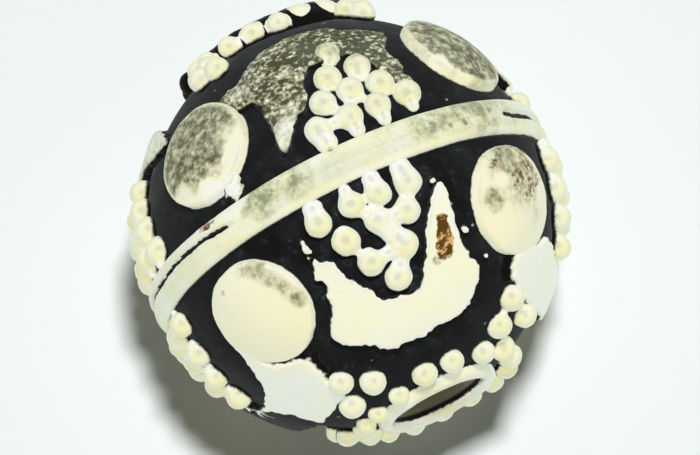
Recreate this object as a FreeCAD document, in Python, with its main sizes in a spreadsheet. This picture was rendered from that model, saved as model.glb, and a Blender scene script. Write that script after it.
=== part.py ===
"""Granulated silver bead, 12 mm across, strung along Y and lying on its side.

The frame's origin is the middle of the string hole, which runs along Y, and +Z is up.
The near half is the -Y half and the far half is the +Y half. A place on a half's dome
is given by a latitude, counted from the seam towards that half's own pole, and by a
longitude, which is 0 at +Z and grows towards +X.
"""
import FreeCAD, Part
import os
import Sketcher

# Lengths in millimetres, angles in degrees, and counts.
SIZES = {
    # The hollow ball: two domed halves, whose short straight rims meet at the seam.
    "shell_radius": 5.5,
    "shell_wall": 0.4,
    "rim_height": 0.1,
    "bore_radius": 1.32,
    # The film of solder that lies between any two pieces.
    "solder_film": 0.01,
    # The belt: two round wires side by side over the seam.
    "belt_wire": 0.52,
    "belt_centre_height": 0.17,
    # The wire eyelet round each end of the string hole.
    "eyelet_wire": 0.42,
    "eyelet_centre_height": 0.21,
    # The round button plates between the groups of granules.
    "button_radius": 1.47,
    "button_rim": 0.34,
    "button_dome": 0.32,
    "button_round": 0.12,
    # The granules: little balls, in triangles, triads and polar rings.
    "granule_radius": 0.35,
    "granule_centre_height": 0.17,
    "granule_pitch": 0.84,
    "granule_row_pitch": 0.69,
    "triangle_base_offset": 1.75,
    "triangle_rows_count": 4,
    "triad_rows_count": 2,
    "triad_pitch": 0.86,
    "near_ring_radius": 2.27,
    "near_ring_count": 16,
    "near_ring_centre_height": 0.17,
    "far_ring_radius": 2.5,
    "far_ring_count": 20,
    "far_ring_centre_height": 0.3,
    # The crescent plates: thickness, then half an outline for each half of the bead.
    "crescent_thickness": 0.34,
    "near_tip_reach": 1.8,
    "near_tip_drop": 1.4,
    "near_throat_reach": 0.8,
    "near_throat_side": 0.25,
    "near_throat_depth": 0.88,
    "near_corner_reach": 2.26,
    "near_corner_height": 1.15,
    "near_sole_depth": 2.3,
    "far_tip_reach": 1.84,
    "far_tip_drop": 1.4,
    "far_throat_reach": 0.74,
    "far_throat_side": 0.25,
    "far_throat_depth": 0.8,
    "far_corner_reach": 2.28,
    "far_corner_height": 0.95,
    "far_sole_depth": 1.85,
    # Latitudes of the rows of ornament on each half.
    "near_unit_latitude_angle": 28.6,
    "far_unit_latitude_angle": 28.2,
    "near_button_latitude_angle": 22.6,
    "far_button_latitude_angle": 23.6,
    "near_triad_latitude_angle": 55.2,
    "far_triad_latitude_angle": 52.6,
    # Longitudes, set by hand as on the bead, whose spacing is a little uneven.
    "near_front_unit_angle": -1,
    "near_right_unit_angle": 89,
    "near_back_unit_angle": 180,
    "near_left_unit_angle": -87,
    "near_front_left_button_angle": -44.9,
    "near_front_right_button_angle": 46.5,
    "near_back_right_button_angle": 135,
    "near_back_left_button_angle": -134,
    "far_front_unit_angle": 7.5,
    "far_right_unit_angle": 100,
    "far_back_unit_angle": 188,
    "far_left_unit_angle": -83,
    "far_front_left_button_angle": -38.9,
    "far_front_right_button_angle": 54.5,
    "far_back_right_button_angle": 144,
    "far_back_left_button_angle": -128,
    # How far one cut or blank runs past what it shapes.
    "overrun": 1,
}

# Which way each half lies along the string hole, and the places round it.
HALVES = {"near": -1, "far": 1}
UNIT_PLACES = ("front", "right", "back", "left")
BUTTON_PLACES = ("front_left", "front_right", "back_right", "back_left")

X_AXIS = FreeCAD.Vector(1, 0, 0)
Y_AXIS = FreeCAD.Vector(0, 1, 0)
Z_AXIS = FreeCAD.Vector(0, 0, 1)
ORIGIN = (-1, 1)
ACROSS = -1
UPRIGHT = -2
START, END, CENTRE = 1, 2, 3
QUARTER = 90
HALF_TURN = 180
FULL_TURN = 360

SEAT = "(Sizes.shell_radius + Sizes.solder_film)"
GRANULE_ORBIT = "(Sizes.shell_radius + Sizes.granule_centre_height)"

doc = FreeCAD.newDocument("GranulatedBead")
sub_parts = []


def fill_sheet():
    """Puts every driving size in the sheet under its own name."""
    sheet = doc.addObject("Spreadsheet::Sheet", "Sizes")
    for row, (name, value) in enumerate(SIZES.items(), start=1):
        sheet.set(f"A{row}", name)
        sheet.set(f"B{row}", str(value))
        sheet.setAlias(f"B{row}", name)
    doc.recompute()
    return sheet


sheet = fill_sheet()


def value_of(expression):
    """The number that an expression on the sheet gives now."""
    return float(sheet.evalExpression(expression.replace("Sizes.", "")))


def keep(piece, label):
    """Names a finished sub-part and lists it for export."""
    piece.Label = label
    sub_parts.append(piece)
    return piece


def dome_centre(side):
    """The centre of one half's dome, past its straight rim."""
    return Y_AXIS * (side * float(sheet.rim_height))


def turn_to_half(piece, side):
    """A piece made round the +Y axis about its dome's centre goes to its own half."""
    turn = FreeCAD.Rotation(Z_AXIS, QUARTER * (1 - side))
    piece.Placement = FreeCAD.Placement(dome_centre(side), turn)


def place_on_dome(piece, side, latitude, longitude):
    """A piece made round +Z goes to its place, with its own +Y towards the half's pole."""
    swing = FreeCAD.Rotation(Y_AXIS, longitude)
    lean = FreeCAD.Rotation(X_AXIS, -side * latitude)
    spin = FreeCAD.Rotation(Z_AXIS, QUARTER * (1 - side))
    piece.Placement = FreeCAD.Placement(dome_centre(side), swing * lean * spin)


def new_body(name, plane):
    """A body with one sketch on one of its own origin planes."""
    body = doc.addObject("PartDesign::Body", name)
    sketch = body.newObject("Sketcher::SketchObject", name + "_sketch")
    support = next(item for item in body.Origin.OriginFeatures if item.Role == plane)
    sketch.AttachmentSupport = [(support, "")]
    sketch.MapMode = "FlatFace"
    return body, sketch


def drive(sketch, kind, where, expression):
    """Adds one dimension to a sketch and ties it to the sheet."""
    start_value = value_of(expression)
    index = sketch.addConstraint(Sketcher.Constraint(kind, *where, start_value))
    sketch.setExpression(f"Constraints[{index}]", expression)


def join(sketch, *pairs):
    """Makes pairs of end points or centres coincide."""
    for first, second in pairs:
        sketch.addConstraint(Sketcher.Constraint("Coincident", *first, *second))


def on_axis(sketch, axis, *points):
    """Holds points on one of the sketch's axes."""
    for point in points:
        sketch.addConstraint(Sketcher.Constraint("PointOnObject", *point, axis))


def line(sketch, start, end):
    """A straight edge between two points of the sketch plane."""
    return sketch.addGeometry(
        Part.LineSegment(FreeCAD.Vector(*start, 0), FreeCAD.Vector(*end, 0)), False
    )


def arc(sketch, centre, start, end):
    """A round edge, counter-clockwise from start to end about a centre."""
    middle = FreeCAD.Vector(*centre, 0)
    first = FreeCAD.Vector(*start, 0) - middle
    last = FreeCAD.Vector(*end, 0) - middle
    circle = Part.Circle(middle, Z_AXIS, first.Length)
    first_angle = circle.parameter(middle + first)
    last_angle = circle.parameter(middle + last)
    return sketch.addGeometry(Part.ArcOfCircle(circle, first_angle, last_angle), False)


def revolve(body, sketch):
    """Turns a profile right round the sketch's upright axis."""
    turned = body.newObject("PartDesign::Revolution", body.Name + "_revolution")
    turned.Profile = sketch
    turned.ReferenceAxis = (sketch, ["V_Axis"])
    turned.Angle = FULL_TURN
    sketch.Visibility = False
    doc.recompute()
    return turned


def height_on(radius_expression, reach_expression):
    """How high a circle about the origin stands at a distance from the upright axis."""
    radius = value_of(radius_expression)
    reach = value_of(reach_expression)
    return (radius * radius - reach * reach) ** 0.5


def bulge_radius(half_chord, depth):
    """The radius of an arc from its half chord and how far it bulges, as an expression."""
    return f"(({half_chord}) ^ 2 + ({depth}) ^ 2) / (2 * ({depth}))"


def half_shell(half, side):
    """One domed half of the hollow ball, with a straight rim and a bore at its pole."""
    label = half + "_shell"
    body, sketch = new_body(label, "XY_Plane")
    outside = "Sizes.shell_radius"
    inside = "Sizes.shell_radius - Sizes.shell_wall"
    bore = "Sizes.bore_radius"
    rim = "Sizes.rim_height"
    outer_rim = (value_of(outside), 0)
    inner_rim = (value_of(inside), 0)
    outer_seam = (value_of(outside), -value_of(rim))
    inner_seam = (value_of(inside), -value_of(rim))
    outer_mouth = (value_of(bore), height_on(outside, bore))
    inner_mouth = (value_of(bore), height_on(inside, bore))
    outer = arc(sketch, (0, 0), outer_rim, outer_mouth)
    wall = line(sketch, outer_mouth, inner_mouth)
    inner = arc(sketch, (0, 0), inner_rim, inner_mouth)
    inner_side = line(sketch, inner_rim, inner_seam)
    seam = line(sketch, inner_seam, outer_seam)
    outer_side = line(sketch, outer_seam, outer_rim)
    join(sketch, ((outer, CENTRE), ORIGIN), ((inner, CENTRE), ORIGIN),
         ((outer, END), (wall, START)), ((wall, END), (inner, END)),
         ((inner, START), (inner_side, START)), ((inner_side, END), (seam, START)),
         ((seam, END), (outer_side, START)), ((outer_side, END), (outer, START)))
    on_axis(sketch, ACROSS, (outer, START), (inner, START))
    for upright in (wall, inner_side, outer_side):
        sketch.addConstraint(Sketcher.Constraint("Vertical", upright))
    sketch.addConstraint(Sketcher.Constraint("Horizontal", seam))
    drive(sketch, "DistanceY", (outer_side, START, *ORIGIN), rim)
    drive(sketch, "Radius", (outer,), outside)
    drive(sketch, "Radius", (inner,), inside)
    drive(sketch, "DistanceX", (*ORIGIN, wall, START), bore)
    revolve(body, sketch)
    turn_to_half(body, side)
    return keep(body, label)


def eyelet(half, side):
    """The wire ring round one end of the string hole, seated on its shell."""
    label = half + "_eyelet"
    body, sketch = new_body(label, "XY_Plane")
    inside = "Sizes.bore_radius"
    outside = "Sizes.bore_radius + Sizes.eyelet_wire"
    middle = "(Sizes.bore_radius + Sizes.eyelet_wire / 2)"
    shoulder = f"sqrt(Sizes.shell_radius ^ 2 - {middle} ^ 2) + Sizes.eyelet_centre_height"
    level = value_of(shoulder)
    inner_foot = (value_of(inside), height_on(SEAT, inside))
    inner_top = (value_of(inside), level)
    outer_top = (value_of(outside), level)
    outer_foot = (value_of(outside), height_on(SEAT, outside))
    bore_wall = line(sketch, inner_foot, inner_top)
    crown = arc(sketch, (value_of(middle), level), outer_top, inner_top)
    outer_wall = line(sketch, outer_top, outer_foot)
    foot = arc(sketch, (0, 0), outer_foot, inner_foot)
    join(sketch, ((bore_wall, END), (crown, END)), ((crown, START), (outer_wall, START)),
         ((outer_wall, END), (foot, START)), ((foot, END), (bore_wall, START)),
         ((foot, CENTRE), ORIGIN))
    sketch.addConstraint(Sketcher.Constraint("Vertical", bore_wall))
    sketch.addConstraint(Sketcher.Constraint("Vertical", outer_wall))
    sketch.addConstraint(Sketcher.Constraint("Horizontal", crown, CENTRE, crown, START))
    sketch.addConstraint(Sketcher.Constraint("Horizontal", crown, CENTRE, crown, END))
    drive(sketch, "Radius", (foot,), SEAT)
    drive(sketch, "DistanceX", (*ORIGIN, bore_wall, START), inside)
    drive(sketch, "DistanceX", (*ORIGIN, outer_wall, START), outside)
    drive(sketch, "DistanceY", (*ORIGIN, crown, CENTRE), shoulder)
    revolve(body, sketch)
    turn_to_half(body, side)
    return keep(body, label)


def seat_ball():
    """The ball that granules and crescents are cut to, so that they sit on the shell."""
    ball = doc.addObject("Part::Sphere", "seat_ball")
    ball.setExpression("Radius", SEAT)
    return ball


def belt_wire(half, side):
    """One of the two hoops of wire that cover the seam, flat where it sits on the ball."""
    label = half + "_belt_wire"
    body, sketch = new_body(label, "XY_Plane")
    wire = "Sizes.belt_wire / 2"
    reach = "Sizes.shell_radius + Sizes.belt_centre_height"
    from_seam = "(Sizes.belt_wire + Sizes.solder_film) / 2 - Sizes.rim_height"
    half_foot = value_of(f"sqrt(({wire}) ^ 2 - ({reach} - {SEAT}) ^ 2)")
    middle = (value_of(reach), value_of(from_seam))
    lower_foot = (value_of(SEAT), middle[1] - half_foot)
    upper_foot = (value_of(SEAT), middle[1] + half_foot)
    outside = arc(sketch, middle, lower_foot, upper_foot)
    foot = line(sketch, lower_foot, upper_foot)
    join(sketch, ((outside, START), (foot, START)), ((outside, END), (foot, END)))
    sketch.addConstraint(Sketcher.Constraint("Vertical", foot))
    drive(sketch, "Radius", (outside,), wire)
    drive(sketch, "DistanceX", (*ORIGIN, outside, CENTRE), reach)
    drive(sketch, "DistanceY", (*ORIGIN, outside, CENTRE), from_seam)
    drive(sketch, "DistanceX", (*ORIGIN, foot, START), SEAT)
    revolve(body, sketch)
    turn_to_half(body, side)
    return keep(body, label)


def button(half, side, name, latitude, longitude):
    """A low domed round plate with a softened edge, soldered to the shell."""
    label = f"{half}_{name}_button"
    body, sketch = new_body(label, "XZ_Plane")
    reach = "Sizes.button_radius"
    edge = f"sqrt({SEAT} ^ 2 - Sizes.button_radius ^ 2) + Sizes.button_rim"
    top = f"{edge} + Sizes.button_dome"
    dome_radius = value_of(bulge_radius("Sizes.button_radius", "Sizes.button_dome"))
    base_centre = (0, value_of(SEAT))
    base_edge = (value_of(reach), height_on(SEAT, reach))
    top_edge = (value_of(reach), value_of(edge))
    top_centre = (0, value_of(top))
    base = arc(sketch, (0, 0), base_edge, base_centre)
    side_wall = line(sketch, base_edge, top_edge)
    dome = arc(sketch, (0, value_of(top) - dome_radius), top_edge, top_centre)
    core = line(sketch, top_centre, base_centre)
    join(sketch, ((base, CENTRE), ORIGIN), ((base, START), (side_wall, START)),
         ((side_wall, END), (dome, START)), ((dome, END), (core, START)),
         ((core, END), (base, END)))
    on_axis(sketch, UPRIGHT, (base, END), (dome, CENTRE), (core, START))
    sketch.addConstraint(Sketcher.Constraint("Vertical", side_wall))
    drive(sketch, "Radius", (base,), SEAT)
    drive(sketch, "DistanceX", (*ORIGIN, side_wall, START), reach)
    drive(sketch, "DistanceY", (*ORIGIN, side_wall, END), edge)
    drive(sketch, "DistanceY", (*ORIGIN, dome, END), top)
    turned = revolve(body, sketch)
    rims = [index for index, rim in enumerate(turned.Shape.Edges, start=1)
            if not rim.Degenerated and isinstance(rim.Curve, Part.Circle)
            and abs(rim.Curve.Axis.z) > abs(rim.Curve.Axis.x) + abs(rim.Curve.Axis.y)]
    upper = max(rims, key=lambda index: turned.Shape.Edges[index - 1].BoundBox.ZMax)
    fillet = body.newObject("PartDesign::Fillet", label + "_round")
    fillet.Base = (turned, [f"Edge{upper}"])
    fillet.setExpression("Radius", "Sizes.button_round")
    body.Tip = fillet
    doc.recompute()
    place_on_dome(body, side, latitude, longitude)
    return keep(body, label)


def crescent_outline(sketch, half):
    """Two pointed arms that hug a triangle of granules, joined by a broad rounded sole."""
    names = {key: f"Sizes.{half}_{key}" for key in (
        "tip_reach", "tip_drop", "throat_reach", "throat_side", "throat_depth",
        "corner_reach", "corner_height", "sole_depth")}
    size = {key: value_of(name) for key, name in names.items()}
    throat_bulge = f"{names['throat_depth']} - {names['throat_side']}"
    sole_bulge = f"{names['sole_depth']} - {names['corner_height']}"
    throat_radius = bulge_radius(names["throat_reach"], throat_bulge)
    sole_radius = bulge_radius(names["corner_reach"], sole_bulge)
    right_tip = (size["tip_reach"], -size["tip_drop"])
    left_tip = (-size["tip_reach"], -size["tip_drop"])
    right_throat = (size["throat_reach"], size["throat_side"])
    left_throat = (-size["throat_reach"], size["throat_side"])
    right_corner = (size["corner_reach"], size["corner_height"])
    left_corner = (-size["corner_reach"], size["corner_height"])
    throat_centre = (0, size["throat_depth"] - value_of(throat_radius))
    sole_centre = (0, size["sole_depth"] - value_of(sole_radius))
    right_inside = line(sketch, right_tip, right_throat)
    throat = arc(sketch, throat_centre, right_throat, left_throat)
    left_inside = line(sketch, left_throat, left_tip)
    left_outside = line(sketch, left_tip, left_corner)
    sole = arc(sketch, sole_centre, right_corner, left_corner)
    right_outside = line(sketch, right_corner, right_tip)
    join(sketch, ((right_inside, END), (throat, START)), ((throat, END), (left_inside, START)),
         ((left_inside, END), (left_outside, START)), ((left_outside, END), (sole, END)),
         ((sole, START), (right_outside, START)), ((right_outside, END), (right_inside, START)))
    for first, second in (((right_inside, START), (left_inside, END)),
                          ((throat, START), (throat, END)), ((sole, START), (sole, END))):
        sketch.addConstraint(Sketcher.Constraint("Symmetric", *first, *second, UPRIGHT))
    drive(sketch, "DistanceX", (*ORIGIN, right_inside, START), names["tip_reach"])
    drive(sketch, "DistanceY", (right_inside, START, *ORIGIN), names["tip_drop"])
    drive(sketch, "DistanceX", (*ORIGIN, throat, START), names["throat_reach"])
    drive(sketch, "DistanceY", (*ORIGIN, throat, START), names["throat_side"])
    drive(sketch, "DistanceX", (*ORIGIN, sole, START), names["corner_reach"])
    drive(sketch, "DistanceY", (*ORIGIN, sole, START), names["corner_height"])
    drive(sketch, "Radius", (throat,), throat_radius)
    drive(sketch, "Radius", (sole,), sole_radius)


def plate_skin(seat):
    """The round layer on top of the shell that the crescent plates are cut from."""
    outside = doc.addObject("Part::Sphere", "plate_ball")
    outside.setExpression("Radius", "Sizes.shell_radius + Sizes.crescent_thickness")
    skin = doc.addObject("Part::Cut", "plate_skin")
    skin.Base = outside
    skin.Tool = seat
    return skin


def crescent(half, side, name, latitude, longitude, skin):
    """A crescent plate, curved to the ball and soldered to the shell."""
    label = f"{half}_{name}_crescent"
    blank, sketch = new_body(label + "_blank", "XY_Plane")
    crescent_outline(sketch, half)
    pad = blank.newObject("PartDesign::Pad", label + "_pad")
    pad.Profile = sketch
    pad.setExpression("Length", "Sizes.shell_radius + Sizes.crescent_thickness + Sizes.overrun")
    plate = doc.addObject("Part::MultiCommon", label)
    plate.Shapes = [blank, skin]
    doc.recompute()
    place_on_dome(plate, side, latitude, longitude)
    return keep(plate, label)


def granules(label, spots, seat):
    """A group of little balls, each cut at its foot so that it sits on the shell."""
    balls = []
    for number, spot in enumerate(spots, start=1):
        ball = doc.addObject("Part::Sphere", f"{label}_{number}")
        ball.setExpression("Radius", "Sizes.granule_radius")
        for axis, expression in zip("xyz", spot):
            ball.setExpression(f"Placement.Base.{axis}", expression)
        balls.append(ball)
    cluster = doc.addObject("Part::Compound", label + "_cluster")
    cluster.Links = balls
    group = doc.addObject("Part::Cut", label)
    group.Base = cluster
    group.Tool = seat
    doc.recompute()
    return group


def on_granule_orbit(across, along):
    """A granule's place over the ball, from its two offsets in the group's own plane."""
    height = f"sqrt({GRANULE_ORBIT} ^ 2 - ({across}) ^ 2 - ({along}) ^ 2)"
    return across, along, height


def heap(rows, pitch, row_pitch, base_offset):
    """Places for a triangle of granules whose rows lose one granule at a time."""
    spots = []
    for row in range(rows):
        length = rows - row
        for column in range(length):
            across = f"({column} - ({length} - 1) / 2) * {pitch}"
            along = f"{row} * {row_pitch} - {base_offset}"
            spots.append(on_granule_orbit(across, along))
    return spots


def triangle(half, side, name, latitude, longitude, seat):
    """Ten granules in a triangle, base towards the belt and apex towards the pole."""
    label = f"{half}_{name}_granule_triangle"
    rows = int(sheet.triangle_rows_count)
    spots = heap(rows, "Sizes.granule_pitch", "Sizes.granule_row_pitch", "Sizes.triangle_base_offset")
    group = granules(label, spots, seat)
    place_on_dome(group, side, latitude, longitude)
    return keep(group, label)


def triad(half, side, name, latitude, longitude, seat):
    """Three granules that point at a button from the polar ring's side."""
    label = f"{half}_{name}_granule_triad"
    rows = int(sheet.triad_rows_count)
    middle = "Sizes.granule_row_pitch * (Sizes.triad_rows_count - 1) / 2"
    spots = heap(rows, "Sizes.triad_pitch", "Sizes.granule_row_pitch", middle)
    group = granules(label, spots, seat)
    place_on_dome(group, side, latitude, longitude)
    group.Placement.Rotation = group.Placement.Rotation * FreeCAD.Rotation(Z_AXIS, HALF_TURN)
    return keep(group, label)


def polar_ring(half, side, seat):
    """The ring of granules round one eyelet."""
    label = half + "_granule_ring"
    ring = f"Sizes.{half}_ring"
    spots = []
    for number in range(int(value_of(f"{ring}_count"))):
        swing = f"({number} + 1 / 2) * 360 deg / {ring}_count"
        across = f"{ring}_radius * sin({swing})"
        upward = f"{ring}_radius * cos({swing})"
        outward = f"sqrt((Sizes.shell_radius + {ring}_centre_height) ^ 2 - {ring}_radius ^ 2)"
        spots.append((across, outward, upward))
    group = granules(label, spots, seat)
    turn_to_half(group, side)
    return keep(group, label)


def build_half(half, side, seat, skin):
    """Every piece of one half of the bead."""
    half_shell(half, side)
    belt_wire(half, side)
    eyelet(half, side)
    polar_ring(half, side, seat)
    unit_latitude = value_of(f"Sizes.{half}_unit_latitude_angle")
    for name in UNIT_PLACES:
        longitude = value_of(f"Sizes.{half}_{name}_unit_angle")
        triangle(half, side, name, unit_latitude, longitude, seat)
        crescent(half, side, name, unit_latitude, longitude, skin)
    button_latitude = value_of(f"Sizes.{half}_button_latitude_angle")
    triad_latitude = value_of(f"Sizes.{half}_triad_latitude_angle")
    for name in BUTTON_PLACES:
        longitude = value_of(f"Sizes.{half}_{name}_button_angle")
        button(half, side, name, button_latitude, longitude)
        triad(half, side, name, triad_latitude, longitude, seat)


def check_document():
    """Stops if any object failed, or if a sub-part has no sound shape."""
    for item in doc.Objects:
        if "Invalid" in item.State or "Error" in item.State:
            raise RuntimeError(f"{item.Label} failed: {item.State}")
    for piece in sub_parts:
        if piece.Shape.isNull() or not piece.Shape.isValid():
            raise RuntimeError(f"{piece.Label} has no sound shape")


def export():
    """Writes one file for each sub-part."""
    os.makedirs("parts", exist_ok=True)
    for piece in sub_parts:
        solids = len(piece.Shape.Solids)
        print(f"{piece.Label}: {solids} solids, {piece.Shape.Volume:.3f} cubic mm")
        piece.Shape.exportStep(f"parts/{piece.Label}.step")


common_seat = seat_ball()
common_skin = plate_skin(common_seat)
for half_name, half_side in HALVES.items():
    build_half(half_name, half_side, common_seat, common_skin)
doc.recompute()
check_document()
export()
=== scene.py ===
"""Looks of the granulated silver bead: bright raised silver over a black patina.

Shapes are worked out in millimetres and written to the meshes in metres. A place on a
half's dome is a latitude, counted from the seam towards that half's pole, and a longitude,
which is 0 at +Z and grows towards +X. Flat outlines on the dome are (east, pole) offsets.
"""
import math
from itertools import product

import bpy
import numpy as np
from numpy.linalg import norm
from mathutils import Matrix, Vector


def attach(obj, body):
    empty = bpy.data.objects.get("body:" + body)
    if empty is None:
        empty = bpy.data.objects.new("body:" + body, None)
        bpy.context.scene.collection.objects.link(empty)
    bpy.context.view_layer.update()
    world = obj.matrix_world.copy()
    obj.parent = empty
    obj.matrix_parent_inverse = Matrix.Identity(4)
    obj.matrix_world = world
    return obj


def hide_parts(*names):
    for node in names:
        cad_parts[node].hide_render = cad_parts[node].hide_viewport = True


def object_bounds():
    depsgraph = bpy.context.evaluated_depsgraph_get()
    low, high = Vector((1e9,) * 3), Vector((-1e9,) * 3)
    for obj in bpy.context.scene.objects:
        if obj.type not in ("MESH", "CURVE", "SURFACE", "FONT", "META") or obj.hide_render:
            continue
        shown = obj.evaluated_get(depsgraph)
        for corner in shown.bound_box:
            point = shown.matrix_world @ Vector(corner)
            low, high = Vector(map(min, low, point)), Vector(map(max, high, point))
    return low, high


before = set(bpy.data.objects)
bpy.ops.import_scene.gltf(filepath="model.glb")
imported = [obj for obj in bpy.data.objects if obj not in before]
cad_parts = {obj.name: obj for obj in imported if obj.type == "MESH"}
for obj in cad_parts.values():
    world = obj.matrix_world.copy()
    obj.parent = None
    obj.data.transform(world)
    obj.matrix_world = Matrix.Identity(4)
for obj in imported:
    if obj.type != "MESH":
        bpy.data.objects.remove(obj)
cad_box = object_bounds()

MM = 0.001

# Lengths in millimetres, as the CAD has them. SEAT lies just under the shell's surface, so that
# every piece reaches into the film of solder below it.
SHELL = 5.5
WALL = 0.4
RIM = 0.1
BORE = 1.32
FILM = 0.01
SEAT = SHELL - FILM
BELT_WIRE = 0.26
EYELET_MIDDLE = 1.53
EYELET_WIRE = 0.21
EYELET_LEVEL = 5.493
BUTTON_RADIUS = 1.47
BUTTON_RIM = 0.34
BUTTON_DOME = 0.32
GRANULE = 0.35
GRANULE_ORBIT = 5.67
PLATE = 0.34

# The halves, and the places of what stands on each, in degrees.
HALVES = {"near": -1, "far": 1}
UNIT_LATITUDE = {"near": 28.6, "far": 28.2}
BUTTON_LATITUDE = {"near": 22.6, "far": 23.6}
TRIAD_LATITUDE = {"near": 55.2, "far": 52.6}
UNITS = {
    "near": {"front": -1, "right": 89, "back": 180, "left": -87},
    "far": {"front": 7.5, "right": 100, "back": 188, "left": -83},
}
BUTTONS = {
    "near": {"front_left": -44.9, "front_right": 46.5, "back_right": 135, "back_left": -134},
    "far": {"front_left": -38.9, "front_right": 54.5, "back_right": 144, "back_left": -128},
}
# The rings of granules: how many, and their centres' distance from the hole and from the middle.
RINGS = {"near": (16, 2.27, 5.67), "far": (20, 2.5, 5.76)}


# Noise and distance fields

# Large odd numbers that scatter the cells' numbers.
HASH_STEPS = np.array([374761393, 668265263, 1440662683])


def value_noise(points, seed):
    """Smooth noise from -1 to 1 at an array of points, with one cell to a unit."""
    cell = np.floor(points).astype(np.int64)
    part = points - cell
    part = part ** 3 * (part * (part * 6 - 15) + 10)
    total = np.zeros(len(points))
    for corner in product((0, 1), repeat=3):
        corner = np.array(corner)
        mixed = (cell + corner) @ HASH_STEPS
        mixed = (mixed + seed * 974711) & 0xFFFFFFFF
        mixed = ((mixed ^ (mixed >> 13)) * 1274126177) & 0xFFFFFFFF
        value = ((mixed ^ (mixed >> 16)) & 0xFFFF) / 32767.5 - 1
        total += np.prod(np.where(corner, part, 1 - part), axis=1) * value
    return total


def rough(points, scale, seed, octaves=3):
    """Layered noise: each layer is twice as fine and half as strong."""
    total = np.zeros(len(points))
    for layer in range(octaves):
        total += value_noise(points * scale * 2 ** layer, seed + layer * 17) / 2 ** layer
    return total / (2 - 0.5 ** (octaves - 1))


def smooth_min(first, second, reach):
    """The union of two distance fields with a soft fillet between them."""
    mix = np.clip(0.5 + 0.5 * (second - first) / reach, 0, 1)
    return second + (first - second) * mix - reach * mix * (1 - mix)


def smooth_step(low, high, value):
    """A soft step from 0 to 1."""
    part = np.clip((value - low) / (high - low), 0, 1)
    return part * part * (3 - 2 * part)


def surface_net(field, low, high, step):
    """Vertices and quads where a field changes sign inside a box."""
    axes = [np.arange(a - 2 * step, b + 3 * step, step) for a, b in zip(low, high)]
    shape = tuple(len(axis) for axis in axes)
    grid = np.stack(np.meshgrid(*axes, indexing="ij"), axis=-1).reshape(-1, 3)
    values = field(grid).reshape(shape)
    inside = values < 0
    cells = tuple(n - 1 for n in shape)
    count = np.zeros(cells)
    place = np.zeros(cells + (3,))
    base = np.stack(np.meshgrid(*[np.arange(n) for n in cells], indexing="ij"), axis=-1)
    for axis in range(3):
        others = [a for a in range(3) if a != axis]
        for shift in product((0, 1), repeat=2):
            start = [slice(None)] * 3
            stop = [slice(None)] * 3
            start[axis] = slice(0, cells[axis])
            stop[axis] = slice(1, cells[axis] + 1)
            offset = np.zeros(3)
            for other, move in zip(others, shift):
                start[other] = stop[other] = slice(move, cells[other] + move)
                offset[other] = move
            first, second = values[tuple(start)], values[tuple(stop)]
            crossing = inside[tuple(start)] != inside[tuple(stop)]
            part = np.where(crossing, first / np.where(crossing, first - second, 1), 0)
            spot = base + offset
            spot[..., axis] += part
            count += crossing
            place += spot * crossing[..., None]
    used = count > 0
    index = np.full(cells, -1)
    index[used] = np.arange(used.sum())
    spots = place[used] / count[used][:, None] * step + [axis[0] for axis in axes]
    quads = []
    for axis in range(3):
        u, v = (axis + 1) % 3, (axis + 2) % 3
        start = [slice(1, n - 1) for n in shape]
        stop = list(start)
        start[axis] = slice(0, shape[axis] - 1)
        stop[axis] = slice(1, shape[axis])
        enter, leave = inside[tuple(start)], inside[tuple(stop)]
        for rising in (True, False):
            edges = np.argwhere((enter & ~leave) if rising else (~enter & leave))
            for other in (u, v):
                edges[:, other] += 1
            ring = []
            for du, dv in ((-1, -1), (0, -1), (0, 0), (-1, 0)):
                corner = edges.copy()
                corner[:, u] += du
                corner[:, v] += dv
                ring.append(index[tuple(corner.T)])
            ring = np.stack(ring if rising else ring[::-1], axis=1)
            quads.append(ring)
    return settle(field, spots, step), np.concatenate(quads)


def settle(field, spots, step):
    """Moves points onto the field's surface along its slope."""
    nudge = step * 0.2
    for _ in range(2):
        slope = np.stack([
            (field(spots + nudge * axis) - field(spots - nudge * axis)) / (2 * nudge)
            for axis in np.eye(3)], axis=1)
        size = np.maximum((slope ** 2).sum(axis=1), 0.2)
        move = slope * (field(spots) / size)[:, None]
        spots = spots - np.clip(move, -step, step)
    return spots


# Places on the domes

class Place:
    """A spot on one half's dome, with its own axes: x, y towards the pole, z outwards."""

    def __init__(self, side, latitude, longitude):
        self.side = side
        lean = -side * math.radians(latitude)
        swing = math.radians(longitude)
        turn = Matrix.Rotation(swing, 3, "Y") @ Matrix.Rotation(lean, 3, "X")
        if side < 0:
            turn = turn @ Matrix.Rotation(math.pi, 3, "Z")
        self.turn = np.array(turn)
        self.centre = np.array([0, side * RIM, 0])

    def to_world(self, points):
        """From this place's axes to the bead's."""
        return np.asarray(points) @ self.turn.T + self.centre

    def flat(self, east, pole):
        """This place's own x and y for offsets towards growing longitude and the pole."""
        return self.side * east, pole

    def local(self, spots, orbit):
        """This place's own coordinates of (latitude, longitude) spots on an orbit."""
        return [(on_sphere(self.side, *spot, orbit) - self.centre) @ self.turn for spot in spots]


def on_sphere(side, latitude, longitude, radius):
    """A point in the bead's axes over a place on one half's dome."""
    return Place(side, latitude, longitude).to_world([[0, 0, radius]])[0]


def lift_of(points):
    """How high points stand over the shells."""
    dome = points - np.sign(points[:, 1:2]) * [0, RIM, 0]
    height = norm(dome, axis=1)
    short = np.abs(points[:, 1]) < RIM
    return np.where(short, np.hypot(points[:, 0], points[:, 2]), height) - SHELL
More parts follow.
